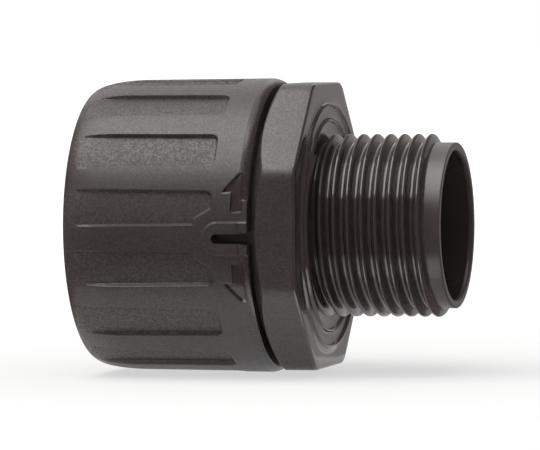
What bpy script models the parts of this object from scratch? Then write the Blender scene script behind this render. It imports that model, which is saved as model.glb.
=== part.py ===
"""Straight liquidtight conduit connector, M20 x 1.5, with a snap-on grip cap.

The connector lies on its side along X, thread towards +X, with one flat of its octagon facing down.
Stations along the axis are measured from the flange's front face, forwards positive. The origin is
on the axis, half way between the cap's entry face and the spigot's tip.
"""
import math

import bmesh
import bpy
from mathutils import Matrix, Vector

MM = 0.001

# Gap between pieces that seat or run on each other
CLEARANCE = 0.3 * MM

# How far a cutting body reaches past what it cuts, and how deep a joined one is sunk
PAST = 1.0 * MM
SUNK = 0.8 * MM

# Facets round a full turn, the recesses' own so that their facets don't lie on the cap's
BODY_STEPS = 60
CAP_STEPS = 60
RECESS_STEPS = 64
RING_STEPS = 48
THREAD_STEPS = 30

# Spigot and its thread
THREAD_MAJOR = 19.5 * MM
THREAD_PITCH = 1.5 * MM
THREAD_DEPTH = 0.92 * MM
THREAD_CREST = 0.3 * MM
THREAD_ROOT_FLAT = 0.3 * MM
SPIGOT_WALL = 0.9 * MM
SPIGOT_LENGTH = 14.0 * MM
LEAD_LENGTH = 1.55 * MM
LEAD_EDGE = 0.15 * MM

# The thread fades out in the last part of a turn, on the side away from the slot
THREAD_FADE = 0.2
THREAD_END_TURN = 0.25
THREAD_LEAST_HEIGHT = 0.1
RIDGE_SUNK = 0.2 * MM

# Octagonal flange with two raised sealing beads
FLANGE_SIDES = 8
FLANGE_INSET = 0.55 * MM
FLANGE_THICKNESS = 4.4 * MM
FLANGE_CORNER_RADIUS = 2.6 * MM
FLANGE_CHAMFER_RUN = 0.75
FLANGE_EDGE_RADIUS = 0.3 * MM
INNER_BEAD_GAP = 1.5 * MM
BEAD_SPACING = 1.7 * MM
SEALING_BEAD_WIDTH = 0.5 * MM
SEALING_BEAD_HEIGHT = 0.35 * MM

# Conduit that the connector takes: diameter over its crests, in its valleys and of its bore
CONDUIT_OUTSIDE = 21.2 * MM
CONDUIT_VALLEY = 19.2 * MM
CONDUIT_INSIDE = 16.6 * MM

# Socket behind the flange, with the snap bead that the cap holds on
SOCKET_STOP = 3.0 * MM
SKIRT_WALL = 2.5 * MM
SKIRT_LENGTH = 9.6 * MM
SKIRT_LEAD = 0.7 * MM
SNAP_BEAD_BACK = 7.2 * MM
SNAP_BEAD_WIDTH = 1.2 * MM
SNAP_BEAD_HEIGHT = 0.5 * MM
MOUTH_CHAMFER = 0.35 * MM

# Seal at the bottom of the socket
SEAL_THICKNESS = 2.6 * MM
SEAL_LIP_HEIGHT = 0.5 * MM

# Grip cap: domed shell of revolution
CAP_WALL = 2.05 * MM
CAP_LENGTH = 20.95 * MM
CAP_TAPER = 0.1 * MM
RIM_GAP = 0.65 * MM
RIM_BEVEL_LENGTH = 0.6 * MM
RIM_BEVEL_DROP = 0.26 * MM
RIM_KNEE_BACK = 0.3
RIM_KNEE_DROP = 0.35
DOME_LENGTH = 5.7 * MM
DOME_DROP = 2.15 * MM
DOME_POWER = 1.67
DOME_SHOULDER_POWER = 3.53
DOME_END_TURN = 84.0
DOME_SEGMENTS = 8
DOME_CROWDING = 1.7
END_FACE_RISE = 0.42 * MM
ENTRY_LAND = 2.5 * MM
ENTRY_EDGE = 0.4 * MM
SEAT_STEP = 0.4 * MM

# Grip recesses round the cap
PANEL_COUNT = 15
PANEL_DEPTH = 0.45 * MM
PANEL_FRONT_WIDTH = 3.45 * MM
PANEL_REAR_WIDTH = 3.95 * MM
PANEL_FRONT_BACK = 3.95 * MM
PANEL_CORNER = 0.7 * MM
CORNER_SEGMENTS = 3

# Release slot, the raised U round it and the half arrows beside it
SLOT_ANGLE = -2.8
SLOT_WIDTH = 1.02 * MM
SLOT_LENGTH = 3.85 * MM
SLOT_FLARE = 0.16 * MM
SLOT_FLARE_LENGTH = 1.1 * MM
BOSS_WIDTH = 3.45 * MM
BOSS_LENGTH = 4.75 * MM
BOSS_BACK = 0.1 * MM
BOSS_HEIGHT = 0.2 * MM
BOSS_SEGMENTS = 10
BOSS_FOOT_LENGTH = 0.98 * MM
BOSS_FOOT_DROP = 0.12 * MM
PLAIN_RIM_START = -6.0
PLAIN_RIM_END = 15.0
FLARE_CUT_LENGTH = 2.0 * MM
FLARE_CUT_STEP = 0.5 * MM
ARROW_STEM_ANGLE = 10.1
ARROW_HEAD_ANGLE = 18.0
ARROW_TIP_ANGLE = 25.5
ARROW_STEM_WIDTH = 1.77 * MM
ARROW_HEAD_WIDTH = 2.78 * MM
ARROW_TIP_BACK = 1.05 * MM
ARROW_RIM_BACK = 0.7 * MM
ARROW_DEPTH = 0.3 * MM

# Claw ring in the cap's conical seat
CLAW_COUNT = 12
CLAW_SLOT = 1.2 * MM
RING_BASE = 1.8 * MM
RING_BORE_MARGIN = 0.2 * MM
CLAW_THICKNESS = 1.6 * MM
CLAW_REACH = 0.82
TOOTH_START = 0.5
TOOTH_CREST = 0.6

# Sizes that follow from the ones above
MAJOR_RADIUS = THREAD_MAJOR / 2
ROOT_RADIUS = MAJOR_RADIUS - THREAD_DEPTH
BORE_RADIUS = ROOT_RADIUS - SPIGOT_WALL
SOCKET_RADIUS = CONDUIT_OUTSIDE / 2 + CLEARANCE
SKIRT_RADIUS = SOCKET_RADIUS + SKIRT_WALL
CAP_BORE_RADIUS = SKIRT_RADIUS + CLEARANCE
CAP_RADIUS = CAP_BORE_RADIUS + CAP_WALL
ENTRY_RADIUS = SOCKET_RADIUS
FLANGE_RADIUS = CAP_RADIUS - FLANGE_INSET
FLANGE_CORNER = FLANGE_RADIUS / math.cos(math.pi / FLANGE_SIDES)
INNER_BEAD_RADIUS = MAJOR_RADIUS + INNER_BEAD_GAP
OUTER_BEAD_RADIUS = INNER_BEAD_RADIUS + BEAD_SPACING

FLANGE_REAR = -FLANGE_THICKNESS
SKIRT_REAR = FLANGE_REAR - SKIRT_LENGTH
CAP_RIM = FLANGE_REAR - RIM_GAP
CAP_REAR = CAP_RIM - CAP_LENGTH
DOME_START = CAP_REAR + END_FACE_RISE + DOME_LENGTH
PANEL_FRONT = CAP_RIM - PANEL_FRONT_BACK
SNAP_BEAD_MIDDLE = FLANGE_REAR - SNAP_BEAD_BACK
RING_FRONT = SKIRT_REAR - CLEARANCE
RING_REAR = RING_FRONT - RING_BASE
SEAT_START = RING_REAR - CLEARANCE
SEAT_END = CAP_REAR + ENTRY_LAND
SEAT_END_RADIUS = ENTRY_RADIUS + SEAT_STEP

# The origin lies half way along the connector
FACE_X = -(SPIGOT_LENGTH + CAP_REAR) / 2

BLACK_NYLON = ("black_nylon", (0.022, 0.021, 0.021, 1.0), 0.42)
BLACK_CAP_NYLON = ("black_grained_nylon", (0.024, 0.023, 0.023, 1.0), 0.5)
GREY_ACETAL = ("grey_acetal", (0.16, 0.16, 0.165, 1.0), 0.35)
SEAL_RUBBER = ("seal_rubber", (0.03, 0.03, 0.032, 1.0), 0.75)


def clear_scene():
    for item in list(bpy.data.objects):
        bpy.data.objects.remove(item, do_unlink=True)


def new_collection(name):
    collection = bpy.data.collections.new(name)
    bpy.context.scene.collection.children.link(collection)
    return collection


def new_material(name, colour, roughness):
    material = bpy.data.materials.new(name)
    material.use_nodes = True
    shader = material.node_tree.nodes["Principled BSDF"]
    shader.inputs["Base Color"].default_value = colour
    shader.inputs["Roughness"].default_value = roughness
    shader.inputs["Metallic"].default_value = 0.0
    return material


def link_mesh(name, mesh, collection):
    item = bpy.data.objects.new(name, mesh)
    collection.objects.link(item)
    if collection.name == "cutters":
        item.hide_render = True
        item.display_type = 'WIRE'
    return item


def turned(name, profile, steps, collection):
    """Solid of revolution about X from a closed profile of (station, radius) points"""
    mesh = bpy.data.meshes.new(name)
    points = [(FACE_X + station, 0.0, radius) for station, radius in profile]
    edges = [(i, (i + 1) % len(points)) for i in range(len(points))]
    mesh.from_pydata(points, edges, [])
    item = link_mesh(name, mesh, collection)
    screw = item.modifiers.new("turn", 'SCREW')
    screw.axis = 'X'
    screw.steps = steps
    screw.render_steps = steps
    screw.use_merge_vertices = True
    screw.merge_threshold = 0.000001
    freeze(item)
    face_outwards(item)
    return item


def freeze(item):
    """Turn an object with its modifiers into a plain mesh"""
    graph = bpy.context.evaluated_depsgraph_get()
    mesh = bpy.data.meshes.new_from_object(item.evaluated_get(graph))
    item.modifiers.clear()
    item.data = mesh


def face_outwards(item):
    shape = bmesh.new()
    shape.from_mesh(item.data)
    bmesh.ops.recalc_face_normals(shape, faces=shape.faces)
    shape.to_mesh(item.data)
    shape.free()


def slab(name, outline, inner, outer, angle, collection):
    """Flat outline of (station, sideways) points, extruded radially and turned to an angle on the cap

    At angle 0 the outline faces -Y with its sideways direction up, and angles turn it upwards.
    """
    curve = bpy.data.curves.new(name, 'CURVE')
    curve.dimensions = '2D'
    curve.fill_mode = 'BOTH'
    curve.extrude = (outer - inner) / 2
    spline = curve.splines.new('POLY')
    spline.points.add(len(outline) - 1)
    for point, (station, sideways) in zip(spline.points, outline):
        point.co = (FACE_X + station, sideways, 0.0, 1.0)
    spline.use_cyclic_u = True
    flat = bpy.data.objects.new(name, curve)
    bpy.context.scene.collection.objects.link(flat)
    graph = bpy.context.evaluated_depsgraph_get()
    mesh = bpy.data.meshes.new_from_object(flat.evaluated_get(graph))
    bpy.data.objects.remove(flat, do_unlink=True)
    upright = Matrix.Rotation(math.radians(90), 4, 'X')
    outwards = Matrix.Translation(Vector((0.0, -(inner + outer) / 2, 0.0)))
    turn = Matrix.Rotation(math.radians(-angle), 4, 'X')
    mesh.transform(turn @ outwards @ upright)
    shape = bmesh.new()
    shape.from_mesh(mesh)
    bmesh.ops.remove_doubles(shape, verts=shape.verts, dist=0.000001)
    bmesh.ops.recalc_face_normals(shape, faces=shape.faces)
    shape.to_mesh(mesh)
    shape.free()
    return link_mesh(name, mesh, collection)


def gather(name, items, collection):
    """One object that holds the separate closed bodies of several"""
    shape = bmesh.new()
    for item in items:
        shape.from_mesh(item.data)
        bpy.data.objects.remove(item, do_unlink=True)
    mesh = bpy.data.meshes.new(name)
    shape.to_mesh(mesh)
    shape.free()
    return link_mesh(name, mesh, collection)


def combine(target, tool, operation):
    cut = target.modifiers.new(operation.lower(), 'BOOLEAN')
    cut.operation = operation
    cut.solver = 'EXACT'
    cut.object = tool
    freeze(target)


def finish(item, material, sharp_degrees=28.0):
    item.data.materials.clear()
    item.data.materials.append(material)
    for polygon in item.data.polygons:
        polygon.material_index = 0
    item.data.shade_smooth()
    item.data.set_sharp_from_angle(angle=math.radians(sharp_degrees))


def arc(centre, radius, start, end, segments):
    """Points on a circle, angles in degrees"""
    points = []
    for i in range(segments + 1):
        angle = math.radians(start + (end - start) * i / segments)
        points.append((centre[0] + radius * math.cos(angle), centre[1] + radius * math.sin(angle)))
    return points


def octagon_flange(collection, cutters):
    """Octagonal prism, corners rounded, rear edge turned to a chamfer"""
    shape = bmesh.new()
    bmesh.ops.create_cone(
        shape, cap_ends=True, segments=FLANGE_SIDES, radius1=FLANGE_CORNER, radius2=FLANGE_CORNER,
        depth=FLANGE_THICKNESS)
    bmesh.ops.rotate(
        shape, verts=shape.verts, matrix=Matrix.Rotation(math.pi / FLANGE_SIDES, 3, 'Z'))
    corners = [e for e in shape.edges if abs(e.verts[0].co.z - e.verts[1].co.z) > FLANGE_THICKNESS / 2]
    bmesh.ops.bevel(
        shape, geom=corners, offset=FLANGE_CORNER_RADIUS * math.tan(math.pi / FLANGE_SIDES),
        offset_type='OFFSET', segments=4, profile=0.5, affect='EDGES')
    half = FLANGE_THICKNESS / 2
    front = [e for e in shape.edges if min(v.co.z for v in e.verts) > half - 0.01 * MM]
    bmesh.ops.bevel(
        shape, geom=front, offset=FLANGE_EDGE_RADIUS, offset_type='OFFSET', segments=2,
        profile=0.5, affect='EDGES')
    bmesh.ops.rotate(shape, verts=shape.verts, matrix=Matrix.Rotation(math.pi / 2, 3, 'Y'))
    bmesh.ops.translate(shape, verts=shape.verts, vec=(FACE_X - half, 0.0, 0.0))
    bmesh.ops.recalc_face_normals(shape, faces=shape.faces)
    mesh = bpy.data.meshes.new("body")
    shape.to_mesh(mesh)
    shape.free()
    flange = link_mesh("body", mesh, collection)
    reach = FLANGE_CORNER - FLANGE_RADIUS + PAST
    envelope = turned("flange_chamfer", [
        (PAST, 0.0),
        (PAST, FLANGE_CORNER + PAST),
        (FLANGE_REAR + reach * FLANGE_CHAMFER_RUN, FLANGE_CORNER + PAST),
        (FLANGE_REAR - PAST * FLANGE_CHAMFER_RUN, FLANGE_RADIUS - PAST),
        (FLANGE_REAR - PAST * FLANGE_CHAMFER_RUN, 0.0),
    ], BODY_STEPS * 2, cutters)
    combine(flange, envelope, 'INTERSECT')
    return flange


def thread_ridge(collection):
    """Right-hand helical ridge, lofted section by section, that fades into the spigot at its end"""
    base_half = (THREAD_PITCH - THREAD_ROOT_FLAT) / 2
    crest_half = THREAD_CREST / 2
    last_crest = SPIGOT_LENGTH - LEAD_LENGTH
    turns = math.ceil(last_crest / THREAD_PITCH + 0.5)
    first_crest = last_crest - turns * THREAD_PITCH
    sections = THREAD_STEPS * turns
    shape = bmesh.new()
    rings = []
    for i in range(sections + 1):
        turn = i / THREAD_STEPS
        fade = min(1.0, (turns - turn) / THREAD_FADE)
        height = THREAD_DEPTH * max(fade, THREAD_LEAST_HEIGHT)
        middle = FACE_X + first_crest + turn * THREAD_PITCH
        angle = 2 * math.pi * (turn + THREAD_END_TURN)
        outwards = Vector((0.0, math.sin(angle), -math.cos(angle)))
        section = [
            (-base_half, ROOT_RADIUS - RIDGE_SUNK),
            (-crest_half - 0.15 * THREAD_CREST, ROOT_RADIUS + 0.9 * height),
            (-0.2 * crest_half, ROOT_RADIUS + height),
            (0.2 * crest_half, ROOT_RADIUS + height),
            (crest_half + 0.15 * THREAD_CREST, ROOT_RADIUS + 0.9 * height),
            (base_half, ROOT_RADIUS - RIDGE_SUNK),
        ]
        ring = [shape.verts.new(Vector((middle + along, 0.0, 0.0)) + outwards * radius)
                for along, radius in section]
        rings.append(ring)
    count = len(rings[0])
    for here, there in zip(rings, rings[1:]):
        for j in range(count):
            k = (j + 1) % count
            shape.faces.new((here[j], here[k], there[k], there[j]))
    shape.faces.new(rings[0])
    shape.faces.new(rings[-1])
    bmesh.ops.recalc_face_normals(shape, faces=shape.faces)
    mesh = bpy.data.meshes.new("thread_ridge")
    shape.to_mesh(mesh)
    shape.free()
    return link_mesh("thread_ridge", mesh, collection)


def sealing_bead(name, radius, collection):
    half = SEALING_BEAD_WIDTH / 2
    return turned(name, [
        (-SUNK, radius - half),
        (SEALING_BEAD_HEIGHT * 0.7, radius - half),
        (SEALING_BEAD_HEIGHT, radius - half * 0.4),
        (SEALING_BEAD_HEIGHT, radius + half * 0.4),
        (SEALING_BEAD_HEIGHT * 0.7, radius + half),
        (-SUNK, radius + half),
    ], BODY_STEPS, collection)


def make_body(parts, cutters, material):
    body = octagon_flange(parts, cutters)
    bead_half = SNAP_BEAD_WIDTH / 2
    bead_radius = SKIRT_RADIUS + SNAP_BEAD_HEIGHT
    ramp = SNAP_BEAD_HEIGHT
    skirt = turned("skirt", [
        (FLANGE_REAR + SUNK, 0.0),
        (FLANGE_REAR + SUNK, SKIRT_RADIUS),
        (SNAP_BEAD_MIDDLE + bead_half, SKIRT_RADIUS),
        (SNAP_BEAD_MIDDLE + bead_half - ramp * 0.5, bead_radius),
        (SNAP_BEAD_MIDDLE - bead_half + ramp, bead_radius),
        (SNAP_BEAD_MIDDLE - bead_half, SKIRT_RADIUS),
        (SKIRT_REAR + SKIRT_LEAD, SKIRT_RADIUS),
        (SKIRT_REAR, SKIRT_RADIUS - SKIRT_LEAD * 0.6),
        (SKIRT_REAR, 0.0),
    ], BODY_STEPS, cutters)
    combine(body, skirt, 'UNION')
    spigot = turned("spigot", [
        (-SUNK, 0.0),
        (-SUNK, ROOT_RADIUS),
        (SPIGOT_LENGTH - LEAD_EDGE, ROOT_RADIUS),
        (SPIGOT_LENGTH - LEAD_EDGE * 0.3, ROOT_RADIUS - LEAD_EDGE * 0.3),
        (SPIGOT_LENGTH, ROOT_RADIUS - LEAD_EDGE),
        (SPIGOT_LENGTH, 0.0),
    ], BODY_STEPS, cutters)
    ridge = thread_ridge(cutters)
    combine(spigot, ridge, 'UNION')
    combine(body, spigot, 'UNION')
    for name, radius in (("outer_bead", OUTER_BEAD_RADIUS), ("inner_bead", INNER_BEAD_RADIUS)):
        combine(body, sealing_bead(name, radius, cutters), 'UNION')
    cavity = turned("cavity", [
        (SPIGOT_LENGTH + PAST, 0.0),
        (SPIGOT_LENGTH + PAST, BORE_RADIUS + MOUTH_CHAMFER * 0.5),
        (SPIGOT_LENGTH, BORE_RADIUS + MOUTH_CHAMFER * 0.5),
        (SPIGOT_LENGTH - MOUTH_CHAMFER * 0.5, BORE_RADIUS),
        (-SOCKET_STOP, BORE_RADIUS),
        (-SOCKET_STOP, SOCKET_RADIUS),
        (SKIRT_REAR + MOUTH_CHAMFER, SOCKET_RADIUS),
        (SKIRT_REAR, SOCKET_RADIUS + MOUTH_CHAMFER),
        (SKIRT_REAR - PAST, SOCKET_RADIUS + MOUTH_CHAMFER),
        (SKIRT_REAR - PAST, 0.0),
    ], BODY_STEPS, cutters)
    combine(body, cavity, 'DIFFERENCE')
    finish(body, material)
    return body


def cap_side_radius(station):
    """Slight cone between the rim and the dome"""
    return CAP_RADIUS - CAP_TAPER * (CAP_RIM - station) / (CAP_RIM - DOME_START)


def dome_outline():
    """Long gentle curve into a tight shoulder, its points closer together towards the shoulder"""
    outline = []
    for i in range(DOME_SEGMENTS + 1):
        share = 1.0 - (1.0 - i / DOME_SEGMENTS) ** DOME_CROWDING
        turn = math.radians(DOME_END_TURN * share)
        back = math.sin(turn) ** (2 / DOME_POWER)
        down = 1.0 - math.cos(turn) ** (2 / DOME_SHOULDER_POWER)
        outline.append((DOME_START - DOME_LENGTH * back, CAP_RADIUS - CAP_TAPER - DOME_DROP * down))
    return outline


def cap_shell(collection):
    groove_half = SNAP_BEAD_WIDTH / 2 + CLEARANCE
    groove_radius = CAP_BORE_RADIUS + SNAP_BEAD_HEIGHT
    outside = [(CAP_RIM, CAP_RADIUS)] + dome_outline()
    inside = [
        (CAP_REAR, ENTRY_RADIUS + ENTRY_EDGE),
        (CAP_REAR + ENTRY_EDGE * 0.3, ENTRY_RADIUS + ENTRY_EDGE * 0.3),
        (CAP_REAR + ENTRY_EDGE, ENTRY_RADIUS),
        (SEAT_END, ENTRY_RADIUS),
        (SEAT_END, SEAT_END_RADIUS),
        (SEAT_START, CAP_BORE_RADIUS),
        (SNAP_BEAD_MIDDLE - groove_half, CAP_BORE_RADIUS),
        (SNAP_BEAD_MIDDLE - groove_half + SNAP_BEAD_HEIGHT, groove_radius),
        (SNAP_BEAD_MIDDLE + groove_half - SNAP_BEAD_HEIGHT * 0.5, groove_radius),
        (SNAP_BEAD_MIDDLE + groove_half, CAP_BORE_RADIUS),
        (CAP_RIM - MOUTH_CHAMFER, CAP_BORE_RADIUS),
        (CAP_RIM, CAP_BORE_RADIUS + MOUTH_CHAMFER),
    ]
    return turned("locking_cap", outside + inside, CAP_STEPS, collection)


def sideways(angle):
    """Distance from the slot's middle, seen square on, of a point on the cap's surface"""
    return CAP_RADIUS * math.sin(math.radians(angle))


def extended(start, end):
    """The point as far again past a line's end"""
    return (2 * end[0] - start[0], 2 * end[1] - start[1])


def rim_bevel(cutters):
    """What the bevel takes off the rim in two slopes, all round but for the plain part beside the slot"""
    knee = (CAP_RIM - RIM_KNEE_BACK * RIM_BEVEL_LENGTH, CAP_RADIUS - RIM_KNEE_DROP * RIM_BEVEL_DROP)
    front = extended(knee, (CAP_RIM, CAP_RADIUS - RIM_BEVEL_DROP))
    rear = extended(knee, (CAP_RIM - RIM_BEVEL_LENGTH, CAP_RADIUS))
    bevel = turned("rim_bevel", [front, knee, rear, (front[0], CAP_RADIUS + PAST)], CAP_STEPS, cutters)
    low = sideways(PLAIN_RIM_START)
    high = sideways(PLAIN_RIM_END)
    past = CAP_RIM + PAST
    behind = CAP_RIM - 2 * RIM_BEVEL_LENGTH
    outline = [(past, high), (behind, high), (behind, low), (past, low)]
    plain = slab("plain_rim", outline, CAP_BORE_RADIUS - PAST, CAP_RADIUS + 2 * PAST, SLOT_ANGLE, cutters)
    combine(bevel, plain, 'DIFFERENCE')
    return bevel


def panel_outline(cut_corner):
    """Recess outline, wider towards the dome; cut_corner is 0, or the side whose front corner is cut"""
    front = PANEL_FRONT_WIDTH / 2
    rear = PANEL_REAR_WIDTH / 2
    past = CAP_REAR - PAST
    outline = [(past, -rear)]
    for side in (-1, 1):
        if side == cut_corner:
            corner = [
                (PANEL_FRONT - FLARE_CUT_LENGTH, side * front),
                (PANEL_FRONT - FLARE_CUT_LENGTH, side * (front - FLARE_CUT_STEP)),
                (PANEL_FRONT, 0.0),
            ]
        else:
            centre = (PANEL_FRONT - PANEL_CORNER, side * (front - PANEL_CORNER))
            corner = arc(centre, PANEL_CORNER, side * 90.0, 0.0, CORNER_SEGMENTS)
        outline += corner if side < 0 else corner[::-1]
    outline.append((past, rear))
    return outline


def arrow_outline(side):
    """Half arrow beside the rim that points away from the slot"""
    front = CAP_RIM - ARROW_RIM_BACK
    stem = side * sideways(ARROW_STEM_ANGLE)
    base = side * sideways(ARROW_HEAD_ANGLE)
    tip = side * sideways(ARROW_TIP_ANGLE)
    return [
        (front, stem),
        (CAP_RIM - ARROW_STEM_WIDTH, stem),
        (CAP_RIM - ARROW_STEM_WIDTH, base),
        (CAP_RIM - ARROW_HEAD_WIDTH, base),
        (CAP_RIM - ARROW_TIP_BACK, tip),
        (front, tip),
    ]


def recess_envelope(collection):
    """Everything outside the floors of the recesses"""
    beyond = CAP_RADIUS + 2 * PAST
    split = (PANEL_FRONT + CAP_RIM - ARROW_HEAD_WIDTH) / 2
    front = CAP_RIM + 2 * PAST
    rear = CAP_REAR - 2 * PAST
    floor_rear = CAP_RADIUS - CAP_TAPER - PANEL_DEPTH
    slope = CAP_TAPER / (CAP_RIM - DOME_START)
    return turned("recess_envelope", [
        (front, beyond),
        (front, CAP_RADIUS - ARROW_DEPTH),
        (split, cap_side_radius(split) - ARROW_DEPTH),
        (split, cap_side_radius(split) - PANEL_DEPTH),
        (rear, floor_rear - slope * (DOME_START - rear)),
        (rear, beyond),
    ], RECESS_STEPS, collection)


def make_recesses(cutters):
    inner = CAP_BORE_RADIUS - PAST
    outer = CAP_RADIUS + PAST
    pitch = 360.0 / PANEL_COUNT
    blocks = []
    for i in range(PANEL_COUNT):
        angle = SLOT_ANGLE + pitch * (i + 0.5)
        cut_corner = {0: -1, PANEL_COUNT - 1: 1}.get(i, 0)
        blocks.append(slab(f"panel_{i:02d}", panel_outline(cut_corner), inner, outer, angle, cutters))
    for side in (-1, 1):
        blocks.append(slab(f"arrow_{side}", arrow_outline(side), inner, outer, SLOT_ANGLE, cutters))
    recesses = gather("recesses", blocks, cutters)
    combine(recesses, recess_envelope(cutters), 'INTERSECT')
    return recesses


def boss_outline():
    half = BOSS_WIDTH / 2
    front = CAP_RIM - BOSS_BACK
    rear = front - BOSS_LENGTH
    return [(front, half)] + arc((rear + half, 0.0), half, 90.0, 270.0, BOSS_SEGMENTS) + [(front, -half)]


def make_boss(cutters):
    """Raised U round the slot, its two feet lower at the rim"""
    top = CAP_RADIUS + BOSS_HEIGHT
    boss = slab("boss", boss_outline(), CAP_RADIUS - CAP_WALL / 2, top, SLOT_ANGLE, cutters)
    front = CAP_RIM + PAST
    rear = CAP_RIM - BOSS_FOOT_LENGTH
    outline = [(front, BOSS_WIDTH), (rear, BOSS_WIDTH), (rear, -BOSS_WIDTH), (front, -BOSS_WIDTH)]
    foot = slab("boss_foot", outline, top - BOSS_FOOT_DROP, top + PAST, SLOT_ANGLE, cutters)
    combine(boss, foot, 'DIFFERENCE')
    return boss


def slot_outline():
    half = SLOT_WIDTH / 2
    rear = CAP_RIM - SLOT_LENGTH
    past = CAP_RIM + PAST
    flare = half + SLOT_FLARE
    return ([(past, flare), (CAP_RIM, flare), (CAP_RIM - SLOT_FLARE_LENGTH, half)]
            + arc((rear + half, 0.0), half, 90.0, 270.0, CORNER_SEGMENTS * 2)
            + [(CAP_RIM - SLOT_FLARE_LENGTH, -half), (CAP_RIM, -flare), (past, -flare)])


def make_cap(parts, cutters, material):
    cap = cap_shell(parts)
    combine(cap, rim_bevel(cutters), 'DIFFERENCE')
    combine(cap, make_recesses(cutters), 'DIFFERENCE')
    combine(cap, make_boss(cutters), 'UNION')
    slot = slab("slot", slot_outline(), CAP_BORE_RADIUS - PAST, CAP_RADIUS + 2 * PAST, SLOT_ANGLE, cutters)
    combine(cap, slot, 'DIFFERENCE')
    finish(cap, material)
    return cap


def seat_radius(station):
    """Radius of the cap's conical seat"""
    share = (SEAT_START - station) / (SEAT_START - SEAT_END)
    return CAP_BORE_RADIUS + (SEAT_END_RADIUS - CAP_BORE_RADIUS) * share


def make_grip_ring(parts, cutters, material):
    """Claw ring: a plain band with fingers that follow the conical seat, a tooth on each"""
    slope = math.atan2(CAP_BORE_RADIUS - SEAT_END_RADIUS, SEAT_START - SEAT_END)
    gap = CLEARANCE / math.cos(slope)
    seat_length = SEAT_START - SEAT_END
    tip = SEAT_START - seat_length * CLAW_REACH
    tooth = SEAT_START - seat_length * TOOTH_START
    crest = SEAT_START - seat_length * TOOTH_CREST
    bore = SOCKET_RADIUS + RING_BORE_MARGIN
    ring = turned("grip_ring", [
        (RING_FRONT, bore),
        (RING_FRONT, SKIRT_RADIUS),
        (RING_REAR, SKIRT_RADIUS),
        (SEAT_START, seat_radius(SEAT_START) - gap),
        (tip, seat_radius(tip) - gap),
        (tip, seat_radius(tip) - gap - CLAW_THICKNESS * 0.4),
        (crest, CONDUIT_VALLEY / 2),
        (tooth, CONDUIT_VALLEY / 2),
        (tooth, seat_radius(tooth) - gap - CLAW_THICKNESS),
        (RING_REAR, bore),
    ], RING_STEPS, parts)
    half = CLAW_SLOT / 2
    outline = [(RING_REAR, half), (tip - PAST, half), (tip - PAST, -half), (RING_REAR, -half)]
    inner = CONDUIT_VALLEY / 2 - PAST
    outer = SKIRT_RADIUS + PAST
    slots = [slab(f"claw_slot_{i:02d}", outline, inner, outer, 360.0 * (i + 0.5) / CLAW_COUNT, cutters)
             for i in range(CLAW_COUNT)]
    combine(ring, gather("claw_slots", slots, cutters), 'DIFFERENCE')
    finish(ring, material)
    return ring


def make_seal(parts, material):
    """Flat ring with two lips that face the end of the conduit"""
    front = -SOCKET_STOP - CLEARANCE
    rear = front - SEAL_THICKNESS
    inner = CONDUIT_INSIDE / 2
    outer = SOCKET_RADIUS - CLEARANCE
    width = outer - inner
    lip = SEAL_LIP_HEIGHT
    seal = turned("conduit_seal", [
        (front, inner),
        (front, outer),
        (rear, outer),
        (rear, outer - 0.15 * width),
        (rear + lip, outer - 0.3 * width),
        (rear + lip, outer - 0.5 * width),
        (rear, outer - 0.65 * width),
        (rear, outer - 0.8 * width),
        (rear + lip, inner),
    ], RING_STEPS, parts)
    finish(seal, material)
    return seal


def main():
    clear_scene()
    parts = new_collection("liquidtight_conduit_connector")
    cutters = new_collection("cutters")
    make_body(parts, cutters, new_material(*BLACK_NYLON))
    make_cap(parts, cutters, new_material(*BLACK_CAP_NYLON))
    make_grip_ring(parts, cutters, new_material(*GREY_ACETAL))
    make_seal(parts, new_material(*SEAL_RUBBER))


main()
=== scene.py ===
import math

import bmesh
import bpy
import numpy as np
from mathutils import Matrix, Vector


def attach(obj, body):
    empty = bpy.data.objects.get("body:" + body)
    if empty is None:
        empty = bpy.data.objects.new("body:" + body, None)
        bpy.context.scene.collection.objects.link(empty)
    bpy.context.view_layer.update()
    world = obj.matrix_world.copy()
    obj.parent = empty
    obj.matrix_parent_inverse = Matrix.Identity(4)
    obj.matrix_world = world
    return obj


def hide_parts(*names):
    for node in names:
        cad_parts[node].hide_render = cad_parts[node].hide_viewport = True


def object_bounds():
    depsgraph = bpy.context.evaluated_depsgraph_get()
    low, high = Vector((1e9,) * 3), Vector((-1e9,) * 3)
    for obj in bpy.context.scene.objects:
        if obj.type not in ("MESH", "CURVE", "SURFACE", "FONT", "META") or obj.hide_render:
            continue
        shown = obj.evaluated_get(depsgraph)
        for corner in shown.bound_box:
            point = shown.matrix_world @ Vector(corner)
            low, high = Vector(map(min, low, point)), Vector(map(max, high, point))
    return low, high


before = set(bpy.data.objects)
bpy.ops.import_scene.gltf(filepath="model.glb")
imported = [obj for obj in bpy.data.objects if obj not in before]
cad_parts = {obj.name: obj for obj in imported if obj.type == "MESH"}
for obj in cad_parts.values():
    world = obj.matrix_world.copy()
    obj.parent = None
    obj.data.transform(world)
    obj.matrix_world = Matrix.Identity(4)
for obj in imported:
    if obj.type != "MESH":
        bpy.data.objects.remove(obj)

cad_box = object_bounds()
FLOOR_LEVEL = cad_box[0][2]

MM = 0.001
MERGE_DISTANCE = 0.000002
SHARP_DEGREES = 32.0

# Stations along the axis, in millimetres forward of the flange's front face, as the solids have them
FACE_X = 6.0
SPIGOT_TIP = 14.0
SOCKET_STOP = -3.0
FLANGE_REAR = -4.4
SKIRT_REAR = -14.0
CAP_RIM = -5.05
CAP_REAR = -26.0
SEAT_START = -16.4
SEAT_END = -23.5
SNAP_BEAD_MIDDLE = -11.6

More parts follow.
